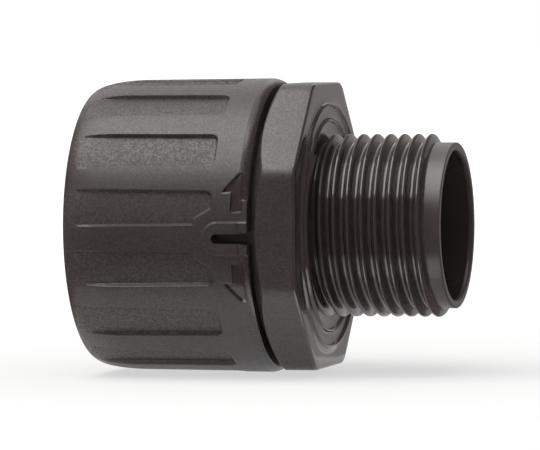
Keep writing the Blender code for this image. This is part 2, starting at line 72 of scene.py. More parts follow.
# Radii in millimetres
THREAD_RADIUS = 9.75
ROOT_RADIUS = 8.83
BORE_RADIUS = 7.93
SOCKET_RADIUS = 10.9
SKIRT_RADIUS = 13.4
CAP_BORE_RADIUS = 13.7
CAP_RADIUS = 15.75
FLANGE_RADIUS = 15.2
FLANGE_CORNER_RADIUS = 2.6

# Angles on the cap are in degrees from the slot's middle, upwards, which is itself turned down a little
SLOT_ANGLE = -2.8
HALF_TURN = 180.0
FULL_TURN = 360.0

# Degrees through a rounded edge, from one face to the next
ROUND_STEPS = (22.5, 45.0, 67.5, 90.0)


def eased(value):
    """0 below 0, 1 above 1, and a smooth step between"""
    share = np.clip(value, 0.0, 1.0)
    return share * share * (3.0 - 2.0 * share)


def inside_share(distance, wall):
    """1 inside an outline and 0 outside, over a wall of that width"""
    return eased(0.5 - distance / wall)


def blend(low, high, share):
    return low + (high - low) * share


def from_front(angle):
    """The same angle between minus and plus half a turn"""
    return (angle + HALF_TURN) % FULL_TURN - HALF_TURN


def add_object(name, data):
    item = bpy.data.objects.new(name, data)
    bpy.context.scene.collection.objects.link(item)
    return item


def finished_mesh(name, shape):
    """Mesh from a bmesh, which is freed"""
    mesh = bpy.data.meshes.new(name)
    shape.to_mesh(mesh)
    shape.free()
    return mesh


def skin(name, rows, body, node, climbing=0, climb=0):
    """Closed surface from rows of (station, radius, angle) in millimetres and degrees

    Each of the three is a number or one number for each column. Rows follow the profile, which closes
    on itself, and columns go round the axis. Angle 0 faces -Y and angles grow upwards. The first
    climbing rows are a helix: after a full turn each goes on in the row that lies climb rows further.
    """
    even = [np.broadcast_arrays(*row) for row in rows]
    stations, radii, angles = (np.array(part) for part in zip(*even))
    turn = np.radians(angles)
    x = (FACE_X + stations) * MM
    y = -radii * np.cos(turn) * MM
    z = radii * np.sin(turn) * MM
    points = np.stack([x, y, z], axis=-1).reshape(-1, 3)
    index = np.arange(x.size).reshape(x.shape)
    right = np.roll(index, -1, axis=1)
    if climbing:
        onward = np.minimum(np.arange(climbing) + climb, climbing - 1)
        right[:climbing, -1] = index[onward, 0]
    below = np.roll(index, -1, axis=0)
    corner = np.roll(right, -1, axis=0)
    faces = np.stack([index, right, corner, below], axis=-1).reshape(-1, 4)
    return mesh_piece(name, points, faces, body, node)


def mesh_piece(name, points, faces, body, node):
    mesh = bpy.data.meshes.new(name)
    mesh.from_pydata(points.tolist(), [], faces.tolist())
    shape = bmesh.new()
    shape.from_mesh(mesh)
    bmesh.ops.remove_doubles(shape, verts=shape.verts, dist=MERGE_DISTANCE)
    bmesh.ops.recalc_face_normals(shape, faces=shape.faces)
    shape.to_mesh(mesh)
    shape.free()
    item = add_object(name, mesh)
    shade(item)
    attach(item, body)
    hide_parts(node)
    return item


def shade(item):
    item.data.shade_smooth()
    item.data.set_sharp_from_angle(angle=math.radians(SHARP_DEGREES))


# Cap

# End face with the conduit's entry, and the dome round it
END_FACE_RISE = 0.42
END_FACE_RADIUS = 14.1
END_FACE_SHARES = (0.7, 0.35, 0.1)
ENTRY_EDGE = 0.4
DOME_LENGTH = 5.7
DOME_DROP = 2.15
DOME_POWER = 1.67
DOME_SHOULDER_POWER = 3.53
DOME_END_TURN = 84.0
DOME_START = CAP_REAR + END_FACE_RISE + DOME_LENGTH
CAP_TAPER = 0.1

# The rim's bevel, which is left out above and beside the slot
RIM_BEVEL_LENGTH = 1.0
RIM_BEVEL_SLOPE = 0.2
RIM_BEVEL_ROUND = 0.3
RIM_EDGE = 0.08
BEVEL_POLISH = 0.6
BEVEL_POLISH_FADE = 0.12
PLAIN_RIM_START = -6.0
PLAIN_RIM_END = 15.0
PLAIN_RIM_FADE = 0.6

# Grip recesses
PANEL_COUNT = 15
PANEL_PITCH = FULL_TURN / PANEL_COUNT
PANEL_DEPTH = 0.45
PANEL_FRONT = -9.0
PANEL_FRONT_HALF = 1.725
PANEL_REAR_HALF = 1.975
PANEL_CORNER = 0.7
PANEL_WALL = 0.26

# The corner that is cut off the two recesses beside the slot
CUT_LENGTH = 2.0
CUT_STEP = 0.5

# Slot with its raised U, which is lower beside the rim
SLOT_HALF = 0.51
SLOT_END = -8.9
SLOT_FLARE = 0.16
SLOT_FLARE_LENGTH = 1.1
BOSS_HALF = 1.725
BOSS_END = -9.9
BOSS_HEIGHT = 0.2
BOSS_FOOT_HEIGHT = 0.08
BOSS_STEP = -6.03
BOSS_STEP_WALL = 0.18
BOSS_WALL = 0.22
MARKS_HALF_ANGLE = 60.0
FAR_SIDEWAYS = 99.0

# The two half arrows beside the slot
ARROW_FRONT = -5.68
ARROW_STEM_REAR = -6.82
ARROW_WING_REAR = -7.83
ARROW_TIP = -6.1
ARROW_STEM_ANGLE = 10.1
ARROW_WING_ANGLE = 18.0
ARROW_TIP_ANGLE = 25.5
ARROW_DEPTH = 0.3
ARROW_WALL = 0.14


def cap_cylinder(station):
    """Radius of the cap between its rim and its dome, a slight cone"""
    share = (CAP_RIM - station) / (CAP_RIM - DOME_START)
    return CAP_RADIUS - CAP_TAPER * share


def rim_edge(station):
    """Depth that the rim's small rounded edge takes off"""
    near = np.clip((station - CAP_RIM + RIM_EDGE) / RIM_EDGE, 0.0, 1.0)
    return RIM_EDGE * (1.0 - np.sqrt(1.0 - near ** 2))


def plain_rim(angle):
    """1 where the rim has no bevel, above and beside the slot"""
    above = inside_share(PLAIN_RIM_START - angle, PLAIN_RIM_FADE)
    return above * inside_share(angle - PLAIN_RIM_END, PLAIN_RIM_FADE)


def cap_base(station, angle):
    """Radius of the cap before anything is cut in it or raised on it"""
    across = np.clip((DOME_START - station) / DOME_LENGTH, 0.0, 1.0)
    down = 1.0 - (1.0 - across ** DOME_POWER) ** (1.0 / DOME_SHOULDER_POWER)
    radius = cap_cylinder(np.maximum(station, DOME_START)) - DOME_DROP * down
    along = np.clip((station - CAP_RIM + RIM_BEVEL_LENGTH) / RIM_BEVEL_LENGTH, 0.0, 1.0)
    bevel = RIM_BEVEL_SLOPE * along + RIM_BEVEL_ROUND * along ** 3
    return radius - blend(bevel, rim_edge(station), plain_rim(angle))


def panel_half(station):
    """Half the width of a recess, which grows towards the dome"""
    share = np.clip((PANEL_FRONT - station) / (PANEL_FRONT - CAP_REAR), 0.0, 1.0)
    return blend(PANEL_FRONT_HALF, PANEL_REAR_HALF, share)


def panel_distance(station, sideways, cut_side):
    """Distance outside a recess's outline, negative inside it, in millimetres"""
    side = np.abs(sideways) - panel_half(station)
    front = station - PANEL_FRONT
    outside = np.hypot(np.maximum(side + PANEL_CORNER, 0.0), np.maximum(front + PANEL_CORNER, 0.0))
    inside = np.minimum(np.maximum(side, front) + PANEL_CORNER, 0.0)
    distance = outside + inside - PANEL_CORNER
    if cut_side:
        start = PANEL_FRONT_HALF - CUT_STEP
        length = math.hypot(CUT_LENGTH, start)
        along = station - (PANEL_FRONT - CUT_LENGTH)
        beyond = (cut_side * sideways - start) * CUT_LENGTH / length + along * start / length
        distance = np.maximum(distance, np.minimum(beyond, along))
    return distance


def polygon_distance(station, sideways, corners):
    """Distance outside a polygon of (station, sideways) corners, negative inside it"""
    least = np.full(station.shape, np.inf)
    inside = np.zeros(station.shape, dtype=bool)
    for (s0, w0), (s1, w1) in zip(corners, corners[1:] + corners[:1]):
        run_s = s1 - s0
        run_w = w1 - w0
        share = ((station - s0) * run_s + (sideways - w0) * run_w) / (run_s ** 2 + run_w ** 2)
        share = np.clip(share, 0.0, 1.0)
        gap = np.hypot(station - s0 - share * run_s, sideways - w0 - share * run_w)
        least = np.minimum(least, gap)
        if w1 != w0:
            crossing = s0 + (sideways - w0) / run_w * run_s
            inside ^= ((w0 > sideways) != (w1 > sideways)) & (station < crossing)
    return np.where(inside, -least, least)


def arrow_corners(side):
    """Half arrow beside the slot that points away from it"""
    stem, wing, tip = (side * (CAP_RADIUS * math.sin(math.radians(angle)))
                       for angle in (ARROW_STEM_ANGLE, ARROW_WING_ANGLE, ARROW_TIP_ANGLE))
    return [
        (ARROW_FRONT, stem),
        (ARROW_STEM_REAR, stem),
        (ARROW_STEM_REAR, wing),
        (ARROW_WING_REAR, wing),
        (ARROW_TIP, tip),
        (ARROW_FRONT, tip),
    ]


def cap_surface(station, angle):
    """Outer radius of the cap, the polish on its arrows and bevel, and the share of a recess's floor"""
    radius = cap_base(station, angle)
    floor = np.minimum(radius, cap_cylinder(station) - PANEL_DEPTH)
    recessed = np.zeros(station.shape)
    for i in range(PANEL_COUNT):
        away = from_front(angle - PANEL_PITCH * (i + 0.5))
        near = np.abs(away) < PANEL_PITCH
        sideways = CAP_RADIUS * np.sin(np.radians(away))
        cut_side = {0: -1, PANEL_COUNT - 1: 1}.get(i, 0)
        share = inside_share(panel_distance(station, sideways, cut_side), PANEL_WALL)
        radius = np.where(near, blend(radius, floor, share), radius)
        recessed = np.where(near, np.maximum(recessed, share), recessed)
    around = from_front(angle)
    front = np.abs(around) < MARKS_HALF_ANGLE
    sideways = np.where(front, CAP_RADIUS * np.sin(np.radians(around)), FAR_SIDEWAYS)
    on_bevel = eased((station - CAP_RIM + RIM_BEVEL_LENGTH) / BEVEL_POLISH_FADE)
    polish = BEVEL_POLISH * on_bevel * (1.0 - plain_rim(around))
    for side in (-1, 1):
        share = inside_share(polygon_distance(station, sideways, arrow_corners(side)), ARROW_WALL)
        radius = radius - ARROW_DEPTH * share
        polish = np.maximum(polish, share)
    cosine = np.where(front, np.cos(np.radians(around)), 1.0)
    step = inside_share(BOSS_STEP - station, BOSS_STEP_WALL)
    top = (CAP_RADIUS + blend(BOSS_HEIGHT, BOSS_FOOT_HEIGHT, step)) / cosine - rim_edge(station)
    centre = BOSS_END + BOSS_HALF
    distance = np.hypot(np.minimum(station - centre, 0.0), sideways) - BOSS_HALF
    return blend(radius, top, inside_share(distance, BOSS_WALL)), polish, recessed


# Columns across one half of a recess, in millimetres: from its middle, before its side, and at its wall
INNER_COLUMNS = (0.0, 0.35, 0.65)
SIDE_COLUMNS = (0.8, 0.68, 0.56, 0.45, 0.35, 0.26, 0.18)
WALL_COLUMNS = (-0.12, -0.07, -0.02, 0.03, 0.08, 0.13)
COLUMN_PAST_WALL = 0.4
COLUMN_ON_LAND = 0.55

# Even columns round the slot, where the marks are
DENSE_STEP = 0.1
DENSE_CLEAR_OF_WALL = 1.6
DENSE_REACH = 2.6
SLOT_COLUMNS = (-0.05, 0.0, 0.05)
LEAST_STEP = 0.03
ANGLE_DIGITS = 4


def cap_columns():
    """Angles of the columns at the recesses' front: close together at walls and round the slot"""
    unit = math.degrees(1.0 / CAP_RADIUS)
    wall = math.degrees(math.asin(PANEL_FRONT_HALF / CAP_RADIUS))
    half = PANEL_PITCH / 2
    dense_step = DENSE_STEP * unit
    at_wall = [wall + d * unit for d in WALL_COLUMNS]
    sparse = [a * unit for a in INNER_COLUMNS] + [(PANEL_FRONT_HALF - d) * unit for d in SIDE_COLUMNS]
    sparse += at_wall + [wall + COLUMN_PAST_WALL * unit, blend(wall, half, COLUMN_ON_LAND)]
    clear = DENSE_CLEAR_OF_WALL * dense_step
    dense = [a for a in np.arange(0.0, half, dense_step) if abs(a - wall) > clear] + at_wall
    columns = []
    for i in range(PANEL_COUNT):
        centre = PANEL_PITCH * (i + 0.5)
        one_side = dense if i in (0, PANEL_COUNT - 1) else sparse
        columns += [centre + a for a in one_side]
        columns += [centre - a for a in one_side if a > 0.0]
        columns.append(centre - half)
    for side in (-1, 1):
        columns += [side * (SLOT_HALF + d) * unit for d in SLOT_COLUMNS]
        columns += [side * (PANEL_PITCH + a) for a in np.arange(dense_step, DENSE_REACH, dense_step)]
    wrapped = sorted({round(a % FULL_TURN, ANGLE_DIGITS) for a in columns})
    kept = [wrapped[0]]
    for angle in wrapped[1:]:
        if angle - kept[-1] > LEAST_STEP * unit:
            kept.append(angle)
    return np.array(kept)


def follow_taper(angle, station):
    """Moves columns with the recesses' walls, which spread towards the dome"""
    away = (angle % PANEL_PITCH) - PANEL_PITCH / 2
    start = math.degrees(math.asin(PANEL_FRONT_HALF / CAP_RADIUS))
    wall = math.degrees(math.asin(float(panel_half(station)) / CAP_RADIUS))
    half = PANEL_PITCH / 2
    size = np.abs(away)
    inside = size * wall / start
    outside = wall + (size - start) * (half - wall) / (half - start)
    moved = np.sign(away) * np.where(size < start, inside, outside)
    return angle - away + moved


# Rows of the cap's outside, in millimetres behind the rim, and what spaces the ones after them
RIM_ROWS = (0.0, 0.015, 0.04, 0.08, 0.15, 0.24, 0.34, 0.45, 0.55)
EVEN_ROWS_START = 0.63
ROW_STEP = 0.1
BEVEL_END_ROWS = (0.02, 0.0, -0.02)
CLEAR_OF_BEVEL_END = 0.05
PAST_CUT = 0.5
STRAIGHT_ROWS = 15
DOME_ROWS = 31
DOME_ROW_SPREAD = 1.5


def cap_stations():
    """Stations of the cap's outer rows from the rim to the entry face"""
    rim = [CAP_RIM - d for d in RIM_ROWS]
    bevel_end = CAP_RIM - RIM_BEVEL_LENGTH
    marks = list(np.arange(CAP_RIM - EVEN_ROWS_START, PANEL_FRONT - CUT_LENGTH - PAST_CUT, -ROW_STEP))
    marks = [mark for mark in marks if abs(mark - bevel_end) > CLEAR_OF_BEVEL_END]
    marks = sorted(marks + [bevel_end + d for d in BEVEL_END_ROWS], reverse=True)
    run = list(np.linspace(marks[-1], DOME_START, STRAIGHT_ROWS))[1:]
    shares = 1.0 - (1.0 - np.linspace(0.0, 1.0, DOME_ROWS)[1:]) ** DOME_ROW_SPREAD
    turns = np.radians(DOME_END_TURN * shares)
    dome = [DOME_START - DOME_LENGTH * math.sin(turn) ** (2.0 / DOME_POWER) for turn in turns]
    return rim + marks + run + dome


# Inside the cap: the ledge behind the claw ring's cone, the lead at the rim, and the snap bead's groove as
# (along, deep) from the bead's middle
SEAT_LEDGE = 0.4
RIM_LEAD = 0.35
SNAP_GROOVE = ((-0.9, 0.0), (-0.4, 0.5), (0.65, 0.5), (0.9, 0.0))


def cap_inside():
    """Profile inside the cap, from the entry face to the rim"""
    face = [(CAP_REAR + END_FACE_RISE * share, blend(SOCKET_RADIUS + ENTRY_EDGE, END_FACE_RADIUS, share))
            for share in END_FACE_SHARES]
    edge = [(CAP_REAR + ENTRY_EDGE * (1.0 - math.cos(a)), SOCKET_RADIUS + ENTRY_EDGE * (1.0 - math.sin(a)))
            for a in np.radians((0.0, *ROUND_STEPS))]
    ledge = [(SEAT_END, SOCKET_RADIUS), (SEAT_END, SOCKET_RADIUS + SEAT_LEDGE)]
    cone = [(SEAT_START, CAP_BORE_RADIUS)]
    groove = [(SNAP_BEAD_MIDDLE + along, CAP_BORE_RADIUS + deep) for along, deep in SNAP_GROOVE]
    lead = [(CAP_RIM - RIM_LEAD, CAP_BORE_RADIUS), (CAP_RIM, CAP_BORE_RADIUS + RIM_LEAD)]
    return face + edge + ledge + cone + groove + lead


# The slot's cutter, from inside the wall to outside it
CUTTER_PAST_RIM = 1.0
CUTTER_END_POINTS = 17
CUTTER_INSIDE = 12.5
CUTTER_REACH = 5.0


def slot_cutter():
    """Open slot through the cap's wall, a little wider at the rim"""
    flare = SLOT_HALF + SLOT_FLARE
    past = CAP_RIM + CUTTER_PAST_RIM
    centre = SLOT_END + SLOT_HALF
    outline = [(past, flare), (CAP_RIM, flare), (CAP_RIM - SLOT_FLARE_LENGTH, SLOT_HALF)]
    for degrees in np.linspace(90.0, 270.0, CUTTER_END_POINTS):
        turn = math.radians(degrees)
        outline.append((centre + SLOT_HALF * math.cos(turn), SLOT_HALF * math.sin(turn)))
    outline += [(CAP_RIM - SLOT_FLARE_LENGTH, -SLOT_HALF), (CAP_RIM, -flare), (past, -flare)]
    shape = bmesh.new()
    inner = [shape.verts.new(((FACE_X + s) * MM, -CUTTER_INSIDE * MM, w * MM)) for s, w in outline]
    face = shape.faces.new(inner)
    grown = bmesh.ops.extrude_face_region(shape, geom=[face])
    moved = [v for v in grown["geom"] if isinstance(v, bmesh.types.BMVert)]
    bmesh.ops.translate(shape, verts=moved, vec=(0.0, -CUTTER_REACH * MM, 0.0))
    bmesh.ops.recalc_face_normals(shape, faces=shape.faces)
    bmesh.ops.rotate(shape, verts=shape.verts, matrix=Matrix.Rotation(math.radians(-SLOT_ANGLE), 3, 'X'))
    return add_object("slot_cutter", finished_mesh("slot_cutter", shape))


def cut(item, cutter):
    """Takes the cutter's space out of the piece and removes the cutter"""
    boolean = item.modifiers.new("cut", 'BOOLEAN')
    boolean.operation = 'DIFFERENCE'
    boolean.solver = 'EXACT'
    boolean.object = cutter
    graph = bpy.context.evaluated_depsgraph_get()
    mesh = bpy.data.meshes.new_from_object(item.evaluated_get(graph))
    item.modifiers.clear()
    item.data = mesh
    bpy.data.objects.remove(cutter, do_unlink=True)


def make_cap(material):
    """Grip cap, from the rim over the outside to the conduit's entry and back inside, with its slot cut"""
    columns = cap_columns()
    rows = []
    for station in cap_stations():
        angle = follow_taper(columns, station)
        radius, _, _ = cap_surface(np.full(angle.shape, station), angle)
        rows.append((station, radius, angle + SLOT_ANGLE))
    rear = follow_taper(columns, CAP_REAR) + SLOT_ANGLE
    rows += [(station, radius, rear) for station, radius in cap_inside()]
    cap = skin("grip_cap", rows, "cap", "locking_cap")
    cut(cap, slot_cutter())
    mark_finish(cap)
    shade(cap)
    cap.data.materials.clear()
    cap.data.materials.append(material)


# The finish is marked only on what lies outside this radius
MARKED_RADIUS = CAP_BORE_RADIUS + 0.5


def mark_finish(cap):
    """Stores where arrows and bevel are smooth and where recesses are rough, for the material"""
    points = np.empty(len(cap.data.vertices) * 3)
    cap.data.vertices.foreach_get("co", points)
    points = points.reshape(-1, 3) / MM
    angle = np.degrees(np.arctan2(points[:, 2], -points[:, 1])) - SLOT_ANGLE
    station = points[:, 0] - FACE_X
    outside = np.hypot(points[:, 1], points[:, 2]) > MARKED_RADIUS
    _, polish, recessed = cap_surface(station, angle)
    for name, share in (("polish", polish), ("recessed", recessed)):
        layer = cap.data.attributes.new(name, 'FLOAT', 'POINT')
        layer.data.foreach_set("value", (share * outside).astype(np.float32))


# Body: the spigot with its thread, bore, socket and skirt in one skin, and the flange round it

# Thread: phases are shares of the pitch from a crest, and fades are in turns and millimetres
PITCH = 1.5
THREAD_TURNS = 9
LAST_CREST = 12.45
THREAD_COLUMNS = 144
THREAD_PHASES = (-0.5, -0.45, -0.41, -0.37, -0.33, -0.28, -0.21, -0.15, -0.09, -0.045,
                 0.0, 0.045, 0.09, 0.15, 0.21, 0.28, 0.33, 0.37, 0.41, 0.45)
RIDGE_FOOT = 0.41
RIDGE_FLANK = 0.35
RIDGE_ROUNDNESS = 0.86
RUN_OUT_PHASE = 0.43
RUN_OUT_FADE = 0.2
THREAD_START = -1.0
THREAD_START_FADE = 0.6
THREAD_END = SPIGOT_TIP - 0.1

# Edges at the tip as (back, inward) from the root's radius, and (back, outward) from the bore's
TIP_EDGE = ((0.06, 0.01), (0.02, 0.04), (0.0, 0.09))
MOUTH_EDGE = ((0.0, 0.26), (0.03, 0.2), (0.1, 0.12), (0.22, 0.05), (0.36, 0.01), (0.5, 0.0))

# Skirt that the cap is snapped on: its lead inside, its taper outside, its end in the flange, and the
# snap bead as (along, high) from its middle
SOCKET_LEAD = 0.35
SKIRT_TAPER = 0.42
SKIRT_TAPER_LENGTH = 0.7
SKIRT_IN_FLANGE = 0.8
SNAP_BEAD = ((-0.6, 0.0), (-0.1, 0.5), (0.35, 0.5), (0.6, 0.0))

# Where the spigot's second and third finish, and the flange's second, stand among its materials
TIP_SLOT = 1
SKIRT_SLOT = 2
FRONT_SLOT = 1


def thread_height(phase):
    """Height of the ridge, 1 on its crest and 0 in the root, with both corners rounded"""
    flank = (RIDGE_FOOT - np.abs(phase)) / RIDGE_FLANK
    return eased(0.5 + (flank - 0.5) * RIDGE_ROUNDNESS)


def thread_rows():
    """Rows of the threaded skin, which climb with the helix"""
    angle = np.linspace(0.0, FULL_TURN, THREAD_COLUMNS, endpoint=False)
    first_crest = LAST_CREST - THREAD_TURNS * PITCH
    rows = []
    for ridge in range(-1, THREAD_TURNS + 2):
        turn = ridge + angle / FULL_TURN
        for phase in THREAD_PHASES:
            station = first_crest + PITCH * (turn + phase)
            fade = eased((THREAD_TURNS - turn) / RUN_OUT_FADE)
            fade = fade * eased((station - THREAD_START) / THREAD_START_FADE)
            radius = ROOT_RADIUS + (THREAD_RADIUS - ROOT_RADIUS) * thread_height(phase) * fade
            rows.append((np.clip(station, THREAD_START, THREAD_END), radius, HALF_TURN - angle))
    return rows


def thread_run_out(place):
    """Station where the last ridge ends, at that place's angle round the axis"""
    turn = (HALF_TURN - math.degrees(math.atan2(place.z, -place.y))) % FULL_TURN / FULL_TURN
    return LAST_CREST + PITCH * (turn - 1.0 + RUN_OUT_PHASE)


def make_spigot(thread_material, tip_material, skirt_material):
    """Threaded spigot, over its tip through the bore and the socket, and back over the skirt outside"""
    rows = thread_rows()
    climbing = len(rows)
    angle = rows[0][2]
    profile = [(SPIGOT_TIP - back, ROOT_RADIUS - inward) for back, inward in TIP_EDGE]
    profile += [(SPIGOT_TIP - back, BORE_RADIUS + outward) for back, outward in MOUTH_EDGE]
    profile += [
        (SOCKET_STOP, BORE_RADIUS),
        (SOCKET_STOP, SOCKET_RADIUS),
        (SKIRT_REAR + SOCKET_LEAD, SOCKET_RADIUS),
        (SKIRT_REAR, SOCKET_RADIUS + SOCKET_LEAD),
        (SKIRT_REAR, SKIRT_RADIUS - SKIRT_TAPER),
        (SKIRT_REAR + SKIRT_TAPER_LENGTH, SKIRT_RADIUS),
    ]
    profile += [(SNAP_BEAD_MIDDLE + along, SKIRT_RADIUS + high) for along, high in SNAP_BEAD]
    profile.append((FLANGE_REAR + SKIRT_IN_FLANGE, SKIRT_RADIUS))
    rows += [(station, radius, angle) for station, radius in profile]
    spigot = skin("threaded_spigot", rows, "connector", "body", climbing, len(THREAD_PHASES))
    for finish in (thread_material, tip_material, skirt_material):
        spigot.data.materials.append(finish)
    for face in spigot.data.polygons:
        if face.center.x < (FACE_X + SOCKET_STOP) * MM:
            face.material_index = SKIRT_SLOT
        elif face.center.x > (FACE_X + thread_run_out(face.center)) * MM:
            face.material_index = TIP_SLOT


# Flange
FLANGE_SIDES = 8
FLANGE_PITCH = FULL_TURN / FLANGE_SIDES
FLAT_COLUMNS = 27
CORNER_COLUMNS = 11

# Front face with its two sealing beads as (across, high) from their middles
HIDDEN_RADIUS = 8.4
FACE_START_RADIUS = 9.6
INNER_BEAD = 11.25
OUTER_BEAD = 12.95
BEAD_SHAPE = ((-0.3, 0.0), (-0.24, 0.03), (-0.17, 0.17), (-0.1, 0.29), (0.0, 0.35),
              (0.1, 0.29), (0.17, 0.17), (0.24, 0.03), (0.3, 0.0))
BEAD_MARGIN = 0.35
FLANGE_EDGE = 0.3

# Flats, the turned chamfer behind them with its rounded edge as shares (along, inward), and the rear
FLAT_SHARES = (0.3, 0.65, 1.0)
FACE_SHARES = (0.35, 0.7, 1.0)
CHAMFER_RUN = 0.75
CHAMFER_EDGE = 0.12
CHAMFER_LIFT = 0.03
CHAMFER_ROUND = ((0.4, 0.12), (-0.2, 0.55))
CHAMFER_SLACK = 0.98
CHAMFER_MARGIN = 0.15
REAR_MARGIN = 0.3
FLANGE_BACK = ((FLANGE_REAR, 12.2), (FLANGE_REAR + 0.6, 12.2), (SOCKET_STOP, 11.6), (-1.0, HIDDEN_RADIUS))


def flat_half_angle():
    """Degrees from the middle of a flat to the start of its rounded corner"""
    tangent = (FLANGE_RADIUS - FLANGE_CORNER_RADIUS) * math.tan(math.radians(FLANGE_PITCH / 2))
    return math.degrees(math.atan(tangent / FLANGE_RADIUS))


def octagon_reach(angle):
    """Distance from the axis to the octagon's outline, corners rounded"""
    half = FLANGE_PITCH / 2
    away = np.abs((angle + half) % FLANGE_PITCH - half)
    flat_reach = FLANGE_RADIUS / np.cos(np.radians(away))
    centre = (FLANGE_RADIUS - FLANGE_CORNER_RADIUS) / math.cos(math.radians(half))
    off = np.radians(half - away)
    root = np.sqrt(np.maximum(FLANGE_CORNER_RADIUS ** 2 - (centre * np.sin(off)) ** 2, 0.0))
    round_reach = centre * np.cos(off) + root
    return np.where(away < flat_half_angle(), flat_reach, round_reach)


def flange_columns():
    edge = flat_half_angle()
    flat = list(np.linspace(-edge, edge, FLAT_COLUMNS))
    corner = list(np.linspace(edge, FLANGE_PITCH - edge, CORNER_COLUMNS))[1:-1]
    return np.array(sorted(FLANGE_PITCH * i + a for i in range(FLANGE_SIDES) for a in flat + corner))


def make_flange(material, front_material):
    """Octagonal flange with two sealing beads in front and a turned chamfer behind"""
    angle = flange_columns()
    reach = octagon_reach(angle)
    rim = reach - FLANGE_EDGE
    chamfer = FLANGE_REAR + CHAMFER_LIFT + (reach - FLANGE_RADIUS) * CHAMFER_RUN
    profile = [(0.0, HIDDEN_RADIUS), (0.0, FACE_START_RADIUS)]
    for bead in (INNER_BEAD, OUTER_BEAD):
        profile += [(high, bead + across) for across, high in BEAD_SHAPE]
    profile += [(0.0, blend(OUTER_BEAD + BEAD_MARGIN, rim, share)) for share in FACE_SHARES]
    for turn in (math.radians(degrees) for degrees in ROUND_STEPS):
        profile.append(((math.cos(turn) - 1.0) * FLANGE_EDGE, rim + FLANGE_EDGE * math.sin(turn)))
    profile += [(blend(-FLANGE_EDGE, chamfer + CHAMFER_EDGE, share), reach) for share in FLAT_SHARES]
    for along, inward in CHAMFER_ROUND:
        profile.append((chamfer + CHAMFER_EDGE * along, reach - CHAMFER_EDGE * inward))
    for share in FACE_SHARES:
        radius = blend(reach - CHAMFER_EDGE, FLANGE_RADIUS - CHAMFER_MARGIN, share)
        slope = (radius - FLANGE_RADIUS) * CHAMFER_RUN * CHAMFER_SLACK
        profile.append((FLANGE_REAR + CHAMFER_LIFT + slope, radius))
    profile.append((FLANGE_REAR, FLANGE_RADIUS - REAR_MARGIN))
    profile += FLANGE_BACK
    rows = [(station, radius, angle) for station, radius in profile]
    flange = skin("octagonal_flange", rows, "connector", "body")
    flange.data.materials.append(material)
    flange.data.materials.append(front_material)
    for face in flange.data.polygons:
        if face.center.x > (FACE_X - FLANGE_EDGE) * MM:
            face.material_index = FRONT_SLOT


# Finishes: colours, roughness, scale per metre and depth in metres

# Grained nylon and the two hidden finishes as (name, colour, roughness, specular)
GRAINED = ("grained_black_nylon", (0.035, 0.026, 0.0245), 0.36, 0.85)
ACETAL = ("dark_acetal", (0.1, 0.1, 0.1), 0.4, 0.5)
RUBBER = ("seal_rubber", (0.06, 0.06, 0.06), 0.7, 0.35)

# Grain of the cap and the flange, with noise as (scale, detail) and bumps as (distance, strength)
GRAIN_DARK = (0.03, 0.0215, 0.02)
GRAIN_PALE = (0.075, 0.061, 0.057)
GRAIN_CELLS = 7000.0
GRAIN_NOISE = (2600.0, 2.0)
GRAIN_NOISE_SHARE = 0.3
GRAIN_BUMP = (0.000034, 1.0)
LAND_GRAIN = 0.6
RECESS_GRAIN = 1.0
POLISHED_GRAIN = 0.0
POLISHED_ROUGHNESS = 0.16

# Ramps as (low, high, start, end): low is the result at start, and high at end
SPECKLE = (0.0, 1.0, 0.35, 0.85)
LAND_ROUGHNESS = (0.46, 0.3, 0.05, 0.6)
RECESS_ROUGHNESS = (0.62, 0.32, 0.1, 0.85)
MIDDLE_START = 0.3
MIDDLE_END = 0.7

# Smooth nylon as (name, colour, roughness, depth of its faint grain)
BLACK_NYLON = (0.041, 0.031, 0.0295)
# The skirt's matt nylon is about twice as pale as the black nylon: painted light that lifts the dark gap
# between cap and flange. Its higher roughness is its real matt finish.
LIGHTENED_MATT_NYLON = (0.08, 0.062, 0.059)
GLOSS_FINISH = ("polished_black_nylon", BLACK_NYLON, 0.13, 0.000003)
SATIN_FINISH = ("satin_black_nylon", BLACK_NYLON, 0.36, 0.00002)
LIGHTENED_MATT_FINISH = ("matt_nylon_painted_lighter", LIGHTENED_MATT_NYLON, 0.6, 0.00002)
SMOOTH_SPECULAR = 0.95
SMOOTH_NOISE = (3800.0, 3.0)
SMOOTH_CLOUD = (420.0, 2.0)
SMOOTH_BUMP_STRENGTH = 0.5
CLOUD_DARK = 0.93
CLOUD_PALE = 1.07
CLOUD_SMOOTH = 0.94
CLOUD_ROUGH = 1.06

ACETAL_DARK = (0.085, 0.085, 0.087)
ACETAL_PALE = (0.115, 0.115, 0.115)
ACETAL_CLOUD = (600.0, 3.0)
ACETAL_ROUGHNESS = (0.35, 0.48)
RUBBER_DARK = (0.05, 0.05, 0.051)
RUBBER_PALE = (0.07, 0.07, 0.07)
RUBBER_NOISE = (3000.0, 4.0)
RUBBER_BUMP = (0.00003, 0.5)

# Sockets of the nodes that have several of one name
SHARE = 0
NUMBERS = (2, 3)
COLOURS = (6, 7)
COLOUR_RESULT = 2
SHADERS = (1, 2)


def add_node(tree, kind, plain, linked):
    """New node with its plain inputs set and its others linked, both by socket name or number"""
    node = tree.nodes.new(kind)
    for socket, value in plain.items():
        node.inputs[socket].default_value = value
    for socket, source in linked.items():
        tree.links.new(source, node.inputs[socket])
    return node


def new_finish(name, colour, roughness, specular):
    material = bpy.data.materials.new(name)
    material.use_nodes = True
    shader = material.node_tree.nodes["Principled BSDF"]
    shader.inputs["Base Color"].default_value = (*colour, 1.0)
    shader.inputs["Roughness"].default_value = roughness
    shader.inputs["Specular IOR Level"].default_value = specular
    return material, material.node_tree, shader


def object_place(tree):
    """Place on the object, in its own frame"""
    return tree.nodes.new('ShaderNodeTexCoord').outputs["Object"]


def noise(tree, place, scale, detail):
    plain = {"Scale": scale, "Detail": detail}
    return add_node(tree, 'ShaderNodeTexNoise', plain, {"Vector": place}).outputs["Fac"]


